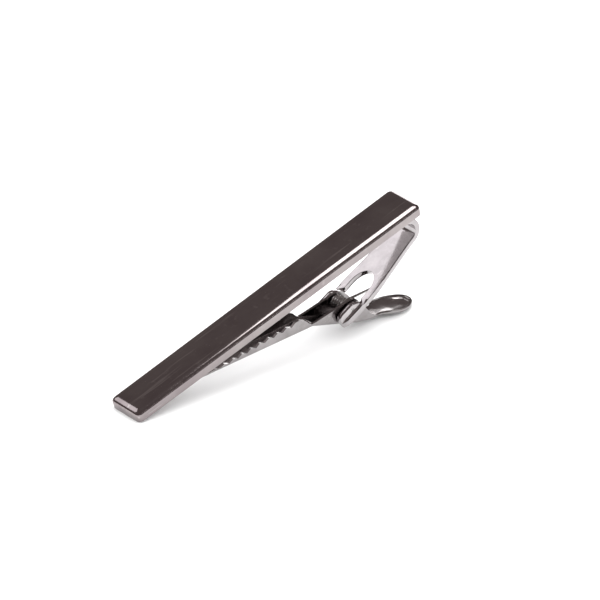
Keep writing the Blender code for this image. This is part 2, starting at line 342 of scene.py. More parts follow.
@dataclass(frozen=True)
class PlatedFinish:
    """A metal finish with cloudy plating, fine lines and worn spots."""

    name: str
    base: Colour
    worn: Colour
    dull: Colour
    rough_low: float
    rough_high: float
    line_depth: float
    grain: Grain = Grain.LENGTHWISE
    line_scale: float = 5200.0
    streak_scale: float = 1900.0
    cloud_scale: float = 260.0
    fleck_ratio: float = 9.0
    patch_ratio: float = 1.7
    wide_line_ratio: float = 0.22
    relief_metres: float = 0.00002
    wear: Wear = Wear()

    def build(self, pitch: float) -> bpy.types.Material:
        """Builds the material.

        Args:
            pitch: The bar's turn about Y, which the lines follow.

        Returns:
            The material, ready for Geometry Nodes or a mesh's slot.
        """
        shader = Shader(self.name)
        fine_place = shader.place(self.grain.value, pitch)
        even_place = shader.place(Grain.EVEN.value, pitch)
        long_place = shader.place(Grain.STREAK.value, pitch)
        wear = self.wear
        cloud = shader.noise(even_place, self.cloud_scale, 4.0)
        fleck = shader.noise(even_place, self.cloud_scale * self.fleck_ratio, 2.0)
        lines = shader.noise(fine_place, self.line_scale, 2.0)
        wide_lines = shader.noise(fine_place, self.line_scale * self.wide_line_ratio, 3.0)
        streak = shader.band(shader.noise(long_place, self.streak_scale, 2.0), wear.streak_span)
        patch = shader.noise(even_place, self.cloud_scale * self.patch_ratio, 2.0)
        streak = streak * shader.band(patch, wear.patch_span)
        scratch = shader.band(wide_lines, wear.scratch_span)
        spot = shader.band(fleck, wear.spot_span)
        base, dull, worn = (*self.base, 1.0), (*self.dull, 1.0), (*self.worn, 1.0)
        tint = shader.mix(shader.band(cloud, wear.tint_span), base, dull)
        by_scratch, by_spot, by_streak = wear.worn_shares
        worn_share = scratch * by_scratch + spot * by_spot + streak * by_streak
        colour = shader.mix(worn_share, tint.socket, worn)
        by_cloud, by_line, by_scratch, by_streak = wear.rough_shares
        uneven = shader.band(cloud, wear.cloud_span) * by_cloud + lines * by_line
        uneven = uneven + scratch * by_scratch + streak * by_streak
        rough = self.rough_low + uneven * (self.rough_high - self.rough_low)
        by_line, by_wide_line, by_fleck = wear.relief_shares
        height = lines * by_line + wide_lines * by_wide_line + fleck * by_fleck
        bump = shader.raw(
            "ShaderNodeBump",
            {},
            {"Height": height, "Strength": self.line_depth, "Distance": self.relief_metres},
        )
        surface = shader.raw(
            "ShaderNodeBsdfPrincipled",
            {},
            {"Base Color": colour, "Metallic": 1.0, "Roughness": rough, "Normal": bump.outputs[0]},
        )
        shader.raw("ShaderNodeOutputMaterial", {}, {"Surface": surface.outputs[0]})
        return shader.material


GUNMETAL_BAR = PlatedFinish(
    name="gunmetal_bar_polished",
    base=(0.335, 0.305, 0.30),
    worn=(0.60, 0.57, 0.56),
    dull=(0.24, 0.205, 0.21),
    rough_low=0.07,
    rough_high=0.2,
    line_depth=0.14,
    cloud_scale=95.0,
)
GUNMETAL_ARM = PlatedFinish(
    name="gunmetal_arm_polished",
    base=(0.44, 0.415, 0.42),
    worn=(0.62, 0.59, 0.585),
    dull=(0.345, 0.325, 0.33),
    rough_low=0.08,
    rough_high=0.2,
    line_depth=0.12,
)
GUNMETAL_LEVER = PlatedFinish(
    name="gunmetal_lever_stamped",
    base=(0.37, 0.35, 0.35),
    worn=(0.58, 0.55, 0.54),
    dull=(0.26, 0.245, 0.245),
    rough_low=0.12,
    rough_high=0.28,
    line_depth=0.22,
)
BRAZE = PlatedFinish(
    name="braze_filler_plated",
    base=(0.44, 0.41, 0.38),
    worn=(0.60, 0.56, 0.50),
    dull=(0.30, 0.28, 0.26),
    rough_low=0.25,
    rough_high=0.5,
    line_depth=0.5,
    grain=Grain.EVEN,
    line_scale=2600.0,
    cloud_scale=900.0,
)
PIN_STEEL = PlatedFinish(
    name="pin_steel_turned",
    base=(0.52, 0.505, 0.50),
    worn=(0.68, 0.66, 0.64),
    dull=(0.40, 0.39, 0.385),
    rough_low=0.14,
    rough_high=0.3,
    line_depth=0.2,
    grain=Grain.EVEN,
    line_scale=4000.0,
    cloud_scale=700.0,
)
SPRING_WIRE = PlatedFinish(
    name="spring_wire_drawn",
    base=(0.50, 0.485, 0.475),
    worn=(0.70, 0.68, 0.66),
    dull=(0.33, 0.32, 0.315),
    rough_low=0.14,
    rough_high=0.32,
    line_depth=0.2,
    grain=Grain.CROSSWISE,
    line_scale=4200.0,
    cloud_scale=800.0,
)


# ---- Where the pieces go ----


@dataclass(frozen=True)
class RestPlace:
    """Carries the bar's own frame, in millimetres, into the model's frame, in metres."""

    matrix: Matrix
    pivot: Vector
    pitch: float

    @classmethod
    def from_frame(cls, frame: dict[str, Any], pivot_x: float, pivot_z: float) -> "RestPlace":
        """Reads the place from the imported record.

        Args:
            pivot_x: The lever's pivot in the bar's frame.
            pivot_z: Its height there.

        Returns:
            The place, with the hinge's own point as the fixed one.
        """
        axis = next(m["axis"] for m in frame["record"]["mounts"] if m["name"] == "front_face")
        pivot = Vector(frame["joints"][0]["pos_m"])
        pitch = math.atan2(axis[0], axis[2])
        matrix = (
            Matrix.Translation(pivot)
            @ Matrix.Rotation(pitch, 4, "Y")
            @ Matrix.Scale(MM, 4)
            @ Matrix.Translation(Vector((-pivot_x, 0.0, -pivot_z)))
        )
        return cls(matrix, pivot, pitch)


class Piece:
    """A finished piece: its object at the origin, with its place in its mesh."""

    def __init__(self, name: str, mesh: bpy.types.Mesh, finish: bpy.types.Material) -> None:
        """Links the mesh as an object and gives it its finish.

        Args:
            name: The object's name.
            mesh: Its mesh, still in the bar's own frame.
            finish: Its only material.
        """
        mesh.materials.clear()
        mesh.materials.append(finish)
        self.obj = bpy.data.objects.new(name, mesh)
        bpy.context.scene.collection.objects.link(self.obj)

    def apply(self) -> "Piece":
        """Replaces the mesh by what its modifiers make, and removes them.

        Returns:
            The piece itself.
        """
        graph = bpy.context.evaluated_depsgraph_get()
        made = bpy.data.meshes.new_from_object(self.obj.evaluated_get(graph), depsgraph=graph)
        self.obj.modifiers.clear()
        self.obj.data = made
        return self

    def settle(self, place: RestPlace, sharp: float) -> bpy.types.Object:
        """Carries the mesh into the model's frame and shades it.

        Args:
            place: Where the bar's frame goes.
            sharp: Degrees past which an edge is shaded crisp.

        Returns:
            The finished object.
        """
        mesh = self.obj.data
        mesh.transform(place.matrix)
        mesh.shade_smooth()
        mesh.set_sharp_from_angle(angle=math.radians(sharp))
        mesh.name = self.obj.name
        return self.obj


class ClipPart:
    """A rigid piece that rides on one body and stands for one CAD node."""

    NAME: ClassVar[str]
    NODE: ClassVar[str]
    SLOT: ClassVar[str]
    FINISH: ClassVar[PlatedFinish]
    BODY: ClassVar[Body] = Body.FRAME
    SHARP: ClassVar[float] = 40.0

    def mesh(self) -> bpy.types.Mesh:
        """Returns the piece's mesh in the bar's own frame."""
        raise NotImplementedError

    def build(self, place: RestPlace) -> bpy.types.Object:
        """Builds, dresses and attaches the piece.

        Args:
            place: Where the bar's frame goes.

        Returns:
            The piece's object.
        """
        piece = Piece(self.NAME, self.mesh(), self.FINISH.build(place.pitch))
        obj = piece.settle(place, self.SHARP)
        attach(obj, self.BODY.value)
        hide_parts(self.NODE)
        LOG.info("%s: %d faces, rides on %s", obj.name, len(obj.data.polygons), self.BODY.value)
        return obj


# ---- The frame: bar, arm, braze, pin and spring ----


@dataclass
class FrontBar(ClipPart):
    """The solid bar that shows on the tie."""

    NAME = "front_bar_body"
    NODE = "front_bar"
    SLOT = "gunmetal_bar"
    FINISH = GUNMETAL_BAR

    length: float = 58.9
    width: float = 7.0
    flare: float = 0.5
    thick: float = 1.9
    corner: float = 0.9
    shoulder_wide: float = 1.3
    shoulder_high: float = 0.7
    back_ease: float = 0.12
    face_inset: float = 0.04
    corner_shrink: float = 0.7
    corner_least: float = 0.1
    corner_steps: int = 10
    back_steps: int = 3
    shoulder_steps: int = 20

    def levels(self) -> list[Span]:
        """Climbs the bar's side.

        Returns:
            (inset, z) from the back, round its eased edge and over the shoulder to the flat front.
        """
        levels = [(self.back_ease, 0.0)]
        for turn in arc(0.0, 90.0, self.back_steps)[1:]:
            inset = self.back_ease * (1.0 - math.sin(turn))
            levels.append((inset, self.back_ease * (1.0 - math.cos(turn))))
        for turn in arc(0.0, 90.0, self.shoulder_steps):
            inset = self.shoulder_wide * (1.0 - math.cos(turn))
            levels.append((inset, self.thick - self.shoulder_high * (1.0 - math.sin(turn))))
        return levels + [(self.shoulder_wide + self.face_inset, self.thick)]

    def mesh(self) -> bpy.types.Mesh:
        """Lofts the bar from its back to its flat front, wider towards its arm end.

        Returns:
            The bar's mesh.
        """
        rings = []
        for inset, z in self.levels():
            radius = max(self.corner - self.corner_shrink * inset, self.corner_least)
            high, half = self.length - inset, self.width / 2 - inset
            ring = rounded_rectangle(inset, high, half, radius, z, self.corner_steps)
            for point in ring:
                point.y *= 1.0 + self.flare / self.width * point.x / self.length
            rings.append(ring)
        return loft(self.NAME, rings)


@dataclass
class BridgeArm(ClipPart):
    """The strip brazed under the bar, bent back and forked round the lever."""

    NAME = "bridge_arm_strip"
    NODE = "bridge_arm"
    SLOT = "gunmetal_arm"
    FINISH = GUNMETAL_ARM
    SHARP = 60.0

    thick: float = 0.9
    foot_start: float = 48.4
    foot_gap: float = 0.16
    bend_x: float = 56.0
    bend_radius: float = 1.9
    slope_start: float = 22.0
    slope_fall: float = 10.0
    foot_half: float = 2.5
    bend_half: float = 2.6
    fork_half: float = 3.45
    flare_from: float = 56.0
    flare_to: float = 44.5
    eye_centre: float = 46.3
    eye_long: float = 2.8
    eye_half: float = 2.05
    ear_end: float = 39.6
    ear_high: float = 1.75
    ear_bend: float = 0.88
    ear_full: tuple[float, float] = (40.7, 42.5)
    ear_start: float = 45.2
    ear_drop: float = 0.85
    ear_rest: float = 0.04
    fold_room: float = 0.05
    nose_lead: float = 0.2
    nose_draw: float = 0.55
    edge_round: float = 0.15
    edge_share: float = 0.6
    rim_steps: int = 8
    foot_runs: int = 8
    bend_runs: int = 40
    slope_runs: int = 12
    ear_runs: tuple[int, int] = (14, 6)
    across: int = 14

    def slope(self, x: float) -> float:
        """Returns the degrees that the arm falls at x, less towards the fork's ends."""
        return self.slope_start - self.slope_fall * (self.bend_x - x) / (self.bend_x - self.ear_end)

    def line(self) -> list[tuple[float, float, float]]:
        """Walks along the middle of the strip.

        Returns:
            (x, z, heading) from the foot's end to the fork's ends.
        """
        z = -self.foot_gap - self.thick / 2
        line = [(x, z, 0.0) for x in spaced(self.foot_start, self.bend_x, self.foot_runs)[:-1]]
        last = math.radians(180.0 - self.slope_start)
        for heading in spaced(0.0, -last, self.bend_runs):
            bend_x = self.bend_x - self.bend_radius * math.sin(heading)
            line.append((bend_x, z - self.bend_radius * (1.0 - math.cos(heading)), heading))
        x, z, _ = line[-1]
        full, start = self.ear_full
        rising, level = self.ear_runs
        nose = full - self.ear_end
        stops = spaced(x, self.eye_centre + self.eye_long, self.slope_runs)[1:]
        stops += [self.eye_centre + self.eye_long * math.cos(turn) for turn in arc(6.0, 90.0, 14)]
        stops += spaced(self.ear_start, start, rising) + spaced(start, full, level)[1:]
        stops += [full - nose * math.sin(turn) for turn in arc(10.0, 90.0, 10)]
        # The last section comes twice, which leaves the fork's ends square at their edges.
        stops.append(self.ear_end)
        for stop in stops:
            fall = math.radians(self.slope((x + stop) / 2))
            z -= (x - stop) * math.tan(fall)
            x = stop
            line.append((x, z, math.radians(self.slope(x) - 180.0)))
        return line

    def outer(self, x: float, on_arm: bool) -> float:
        """Measures the strip to its outer edge.

        Args:
            x: Where along the bar.
            on_arm: Whether x is past the bend.

        Returns:
            Half the strip's width there.
        """
        if not on_arm:
            share = smooth((x - self.foot_start) / (self.bend_x - self.foot_start))
            return self.foot_half + (self.bend_half - self.foot_half) * share
        share = smooth((self.flare_from - x) / (self.flare_from - self.flare_to))
        half = self.bend_half + (self.fork_half - self.bend_half) * share
        nose_start = self.ear_full[0] + self.nose_lead
        nose = max(nose_start - x, 0.0)
        return half - self.nose_draw * (nose / (nose_start - self.ear_end)) ** 2

    def inner(self, x: float, on_arm: bool) -> float:
        """Measures the eye, which leaves the fork open to its ends.

        Args:
            x: Where along the bar.
            on_arm: Whether x is past the bend.

        Returns:
            Half the eye's width there, nothing before the eye.
        """
        reach = (x - self.eye_centre) / self.eye_long
        if not on_arm or reach >= 1.0:
            return 0.0
        return self.eye_half * math.sqrt(1.0 - max(reach, 0.0) ** 2)

    def ear(self, x: float) -> float:
        """Measures the ear.

        Args:
            x: Where along the bar.

        Returns:
            How far the fork's inner edge is turned up there.
        """
        full, start = self.ear_full
        if x > start:
            return self.ear_high * smooth((self.ear_start - x) / (self.ear_start - start))
        nose = max(full - x, 0.0) / (full - self.ear_end)
        return self.ear_high - self.ear_drop * (1.0 - math.sqrt(max(1.0 - nose * nose, 0.0)))

    def section(self, x: float, on_arm: bool) -> list[tuple[float, float, float, float]]:
        """Crosses one half of the strip, outer edge first.

        Args:
            x: Where along the bar.
            on_arm: Whether x is past the bend.

        Returns:
            (y, height, normal across, normal up) for each point.
        """
        outer = self.outer(x, on_arm)
        inner = self.inner(x, on_arm)
        high = self.ear(x) if on_arm and x < self.ear_start else 0.0
        if high <= 0.0:
            return [(y, 0.0, 0.0, 1.0) for y in spaced(outer, inner, self.across)]
        fold = self.thick / 2
        radius = min(self.ear_bend, outer - inner - fold - self.fold_room)
        share = min(high / radius, 1.0)
        turn = share * math.pi / 2
        centre = inner + share * fold + radius * math.sin(turn)
        flat = spaced(outer, centre, 3)[:-1]
        section = [(y, 0.0, 0.0, 1.0) for y in flat]
        for angle in spaced(0.0, turn, self.across - len(flat) - 1):
            across, rise = math.sin(angle), math.cos(angle)
            section.append((centre - radius * across, radius * (1.0 - rise), across, rise))
        y, top, _, _ = section[-1]
        rest = max(high - radius, 0.0) + self.ear_rest
        tip = (y - rest * math.cos(turn), top + rest * math.sin(turn))
        section.append((*tip, math.sin(turn), math.cos(turn)))
        return section

    def mesh(self) -> bpy.types.Mesh:
        """Builds the strip's two faces, half a thickness either side of its middle, and its edges.

        Returns:
            The arm's mesh.
        """
        shape = bmesh.new()
        first_on_arm = self.foot_runs + self.bend_runs
        under: dict[bmesh.types.BMVert, bmesh.types.BMVert] = {}
        halves: tuple[list, list] = ([], [])
        for i, (x, z, heading) in enumerate(self.line()):
            up = Vector((math.sin(heading), 0.0, -math.cos(heading)))
            section = self.section(x, i >= first_on_arm)
            shared = None
            for side, rows in zip((1.0, -1.0), halves):
                row = []
                for y, high, across, rise in section:
                    if y < 1e-6 and shared is not None:
                        row.append(shared)
                        continue
                    middle = Vector((x, side * y, z)) + up * high
                    normal = Vector((0.0, side * across, 0.0)) + up * rise
                    row.append(shape.verts.new(middle + normal * self.thick / 2))
                    under[row[-1]] = shape.verts.new(middle - normal * self.thick / 2)
                    if y < 1e-6:
                        shared = row[-1]
                rows.append(row)
        tops = []
        for rows in halves:
            for low, high in zip(rows, rows[1:]):
                for j in range(len(low) - 1):
                    tops.append(shape.faces.new((low[j], low[j + 1], high[j + 1], high[j])))
        rim = [edge for edge in shape.edges if len(edge.link_faces) == 1]
        chains = self.rounded_rim(shape, rim, under)
        ends = [edge.verts[:] for edge in rim]
        for face in tops:
            shape.faces.new([under[vertex] for vertex in face.verts])
        for first, second in ends:
            for k in range(self.rim_steps):
                one, two = chains[first], chains[second]
                shape.faces.new((one[k], two[k], two[k + 1], one[k + 1]))
        return mesh_from(shape, self.NAME)

    def rounded_rim(
        self,
        shape: bmesh.types.BMesh,
        rim: Sequence[bmesh.types.BMEdge],
        under: dict[bmesh.types.BMVert, bmesh.types.BMVert],
    ) -> dict[bmesh.types.BMVert, list[bmesh.types.BMVert]]:
        """Draws the strip's faces in at its edges and adds the round between them.

        Args:
            shape: The strip so far.
            rim: The edges round its upper face.
            under: The lower face's point under each point of the upper face.

        Returns:
            For each rim point, the points round the edge from the upper face to the lower one.
        """
        moves = {}
        for vertex in {v for edge in rim for v in edge.verts}:
            inward = [e.other_vert(vertex).co - vertex.co for e in vertex.link_edges if e not in rim]
            inward = inward or [e.other_vert(vertex).co - vertex.co for e in vertex.link_edges]
            mean = sum((way.normalized() for way in inward), Vector())
            reach = min(self.edge_round, self.edge_share * min(way.length for way in inward))
            moves[vertex] = mean.normalized() * reach
        chains = {}
        for vertex, move in moves.items():
            middle = (vertex.co + under[vertex].co) / 2 + move
            rise = (vertex.co - under[vertex].co) / 2
            vertex.co += move
            under[vertex].co += move
            chain = [vertex]
            for turn in arc(90.0, -90.0, self.rim_steps)[1:-1]:
                chain.append(shape.verts.new(middle - move * math.cos(turn) + rise * math.sin(turn)))
            chains[vertex] = chain + [under[vertex]]
        return chains


@dataclass
class BrazeSeam(ClipPart):
    """The bed of filler that shows as a rim round the arm's foot."""

    NAME = "braze_bead"
    NODE = "braze_seam"
    SLOT = "braze_filler"
    FINISH = BRAZE

    foot_start: float = 48.4
    foot_end: float = 56.0
    foot_half: float = 2.5
    thick: float = 0.10
    gap: float = 0.03
    proud: float = 0.25
    corner: float = 0.6
    ripple: float = 0.05
    levels: int = 8
    steps: int = 16

    def mesh(self) -> bpy.types.Mesh:
        """Lofts the bead with a hollow side and a slightly uneven edge.

        Returns:
            The bead's mesh.
        """
        rings = []
        for share in spaced(0.0, 1.0, self.levels):
            proud = self.proud * (1.0 - share) ** 2
            z = -self.gap - self.thick * share
            low, high, half = self.foot_start - proud, self.foot_end + proud, self.foot_half + proud
            ring = rounded_rectangle(low, high, half, self.corner, z, self.steps)
            for i, point in enumerate(ring):
                turn = 2.0 * math.pi * i / len(ring)
                wave = math.sin(7.0 * turn) + 0.6 * math.sin(17.0 * turn + 1.0)
                point.y *= 1.0 - self.ripple * (1.0 - share) * 0.25 * (1.0 + wave) / 2.6
            rings.append(ring)
        return loft(self.NAME, rings)


@dataclass
class PivotPin(ClipPart):
    """The peened pin through both ears and the lever."""

    NAME = "pivot_pin_peened"
    NODE = "pivot_pin"
    SLOT = "steel_pin"
    FINISH = PIN_STEEL

    x: float = 42.1
    z: float = -8.2
    radius: float = 0.42
    half: float = 3.0
    dome: float = 0.1
    dimple: float = 0.03
    dimple_steps: Profile = ((1.0, 0.08), (0.4, 0.3), (0.0, 0.5))
    steps: int = 48

    def mesh(self) -> bpy.types.Mesh:
        """Lofts the pin with domed, lightly dimpled ends.

        Returns:
            The pin's mesh.
        """
        end = [(self.half - self.dimple * deep, share) for deep, share in self.dimple_steps]
        for turn in arc(60.0, 0.0, 6):
            end.append((self.half - self.dome * (1.0 - math.sin(turn)), 0.5 + 0.5 * math.cos(turn)))
        profile = [(-y, share) for y, share in end] + list(reversed(end))
        rings = []
        for y, share in profile:
            ring = []
            for i in range(self.steps):
                turn = 2.0 * math.pi * i / self.steps
                x = self.x + share * self.radius * math.cos(turn)
                ring.append(Vector((x, y, self.z + share * self.radius * math.sin(turn))))
            rings.append(ring)
        return loft(self.NAME, rings)


class WireTree:
    """The node tree that sweeps a round wire along a path of joined points."""

    GIVEN = {
        "Geometry": "NodeSocketGeometry",
        "Wire Radius": "NodeSocketFloat",
        "Sides": "NodeSocketInt",
        "Unevenness": "NodeSocketFloat",
        "Seed": "NodeSocketInt",
        "Finish": "NodeSocketMaterial",
    }

    def __init__(self) -> None:
        """Builds the tree with its named inputs."""
        self.tree = bpy.data.node_groups.new("swept_wire", "GeometryNodeTree")
        face = self.tree.interface
        for name, kind in self.GIVEN.items():
            face.new_socket(name, in_out="INPUT", socket_type=kind)
        face.new_socket("Geometry", in_out="OUTPUT", socket_type="NodeSocketGeometry")
        self._join()

    def _node(self, kind: str, links: dict[Any, Any]) -> bpy.types.Node:
        """Adds a node and links or sets its inputs.

        Args:
            kind: The node's type.
            links: Values or sockets, by the input's name or number.

        Returns:
            The node.
        """
        made = self.tree.nodes.new(kind)
        for key, value in links.items():
            if isinstance(value, bpy.types.NodeSocket):
                self.tree.links.new(value, made.inputs[key])
            else:
                made.inputs[key].default_value = value
        return made

    def _join(self) -> None:
        """Adds the nodes: path to curve, uneven radius, sweep, smooth shading, finish."""
        given = self.tree.nodes.new("NodeGroupInput").outputs
        path = self._node("GeometryNodeMeshToCurve", {"Mesh": given["Geometry"]})
        low = self.tree.nodes.new("ShaderNodeMath")
        low.operation = "SUBTRACT"
        low.inputs[0].default_value = 1.0
        self.tree.links.new(given["Unevenness"], low.inputs[1])
        uneven = self._node(
            "FunctionNodeRandomValue",
            {"Min": low.outputs[0], "Max": 1.0, "Seed": given["Seed"]},
        )
        thinned = self._node(
            "GeometryNodeSetCurveRadius",
            {"Curve": path.outputs[0], "Radius": uneven.outputs["Value"]},
        )
        round_wire = self._node(
            "GeometryNodeCurvePrimitiveCircle",
            {"Resolution": given["Sides"], "Radius": given["Wire Radius"]},
        )
        swept = self._node(
            "GeometryNodeCurveToMesh",
            {"Curve": thinned.outputs[0], "Profile Curve": round_wire.outputs[0], "Fill Caps": True},
        )
        shaded = self._node("GeometryNodeSetShadeSmooth", {"Geometry": swept.outputs[0]})
        real = self._node("GeometryNodeRealizeInstances", {"Geometry": shaded.outputs[0]})
        done = self._node(
            "GeometryNodeSetMaterial", {"Geometry": real.outputs[0], "Material": given["Finish"]}
        )
        self._node("NodeGroupOutput", {0: done.outputs[0]})

    def inputs(self) -> dict[str, str]:
        """Returns each input's identifier by its name."""
        items = self.tree.interface.items_tree
        return {item.name: item.identifier for item in items if item.in_out == "INPUT"}


@dataclass
class TorsionSpring:
    """The wire coil round the pin, with a leg under the arm and one in the lever's floor."""

    NAME: ClassVar[str] = "torsion_spring_wire"

    pivot: tuple[float, float] = (42.1, -8.2)
    wire: float = 0.42
    coil_radius: float = 1.0
    coil_pitch: float = 0.5
    start: float = 80.4
    stop: float = 235.0
    turns: int = 4
    arm_leg: Profile = ((48.3, -8.7), (51.6, -6.98))
    lever_leg: Profile = ((46.3, -12.62), (47.0, -12.95))
    bend_radius: float = 0.8
    bend_share: float = 0.6
    turn_steps: int = 48
    leg_runs: int = 4
    bend_runs: int = 8
    sides: int = 20
    unevenness: float = 0.012
    seed: int = 7
    sharp: float = 60.0

    def sweep(self) -> float:
        """Returns the degrees of wire in the coil."""
        return 360.0 * self.turns + self.stop - self.start

    def reach(self) -> float:
        """Returns the coil's half length along the pin."""
        return self.coil_pitch * self.sweep() / 360.0 / 2.0

    def leg(self, points: Profile, y: float, start: Vector) -> list[Vector]:
        """Follows a leg from its free end to the coil.

        Args:
            points: Its bend and its free end, as (x, z).
            y: Where it lies across the bar.
            start: Where it leaves the coil.

        Returns:
            Points with the bend rounded, free end first.
        """
        bend, free = (Vector((x, y, z)) for x, z in points)
        radius = min(self.bend_radius, (free - bend).length * self.bend_share)
        before = bend + (free - bend).normalized() * radius
        after = bend + (start - bend).normalized() * radius
        made = [free.lerp(before, share) for share in spaced(0.0, 1.0, self.leg_runs)[:-1]]
        for share in spaced(0.0, 1.0, self.bend_runs):
            made.append(before.lerp(bend, share).lerp(bend.lerp(after, share), share))
        return made + [after.lerp(start, share) for share in spaced(0.0, 1.0, 2 * self.leg_runs)[1:-1]]

    def path(self) -> list[Vector]:
        """Follows the wire's middle.

        Returns:
            Points from the arm's leg, round the coil, to the lever's leg.
        """
        steps = round(self.turn_steps * self.sweep() / 360.0)
        reach = self.reach()
        coil = []
        for i in range(steps + 1):
            turn = math.radians(self.start + self.sweep() * i / steps)
            x = self.pivot[0] + self.coil_radius * math.cos(turn)
            y = -reach + 2.0 * reach * i / steps
            coil.append(Vector((x, y, self.pivot[1] + self.coil_radius * math.sin(turn))))
        first = self.leg(self.arm_leg, -reach, coil[0])
        last = self.leg(self.lever_leg, reach, coil[-1])
        return first + coil + list(reversed(last))

    def build(self, place: RestPlace) -> bpy.types.Object:
        """Sweeps the wire and leaves it fixed in the model's frame, riding on neither body.

        Args:
            place: Where the bar's frame goes.

        Returns:
            The spring's object.
        """
        points = self.path()
        bones = bpy.data.meshes.new(self.NAME)
        bones.from_pydata(points, [(i, i + 1) for i in range(len(points) - 1)], [])
        finish = SPRING_WIRE.build(place.pitch)
        piece = Piece(self.NAME, bones, finish)
        tree = WireTree()
        modifier = piece.obj.modifiers.new("wire", "NODES")
        modifier.node_group = tree.tree
        names = tree.inputs()
        modifier[names["Wire Radius"]] = self.wire / 2
        modifier[names["Sides"]] = self.sides
        modifier[names["Unevenness"]] = self.unevenness
        modifier[names["Seed"]] = self.seed
        modifier[names["Finish"]] = finish
        obj = piece.apply().settle(place, self.sharp)
        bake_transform(obj)
        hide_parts("torsion_spring")
        LOG.info("%s: %d faces, winds between the bodies", obj.name, len(obj.data.polygons))
        return obj


# ---- The lever ----


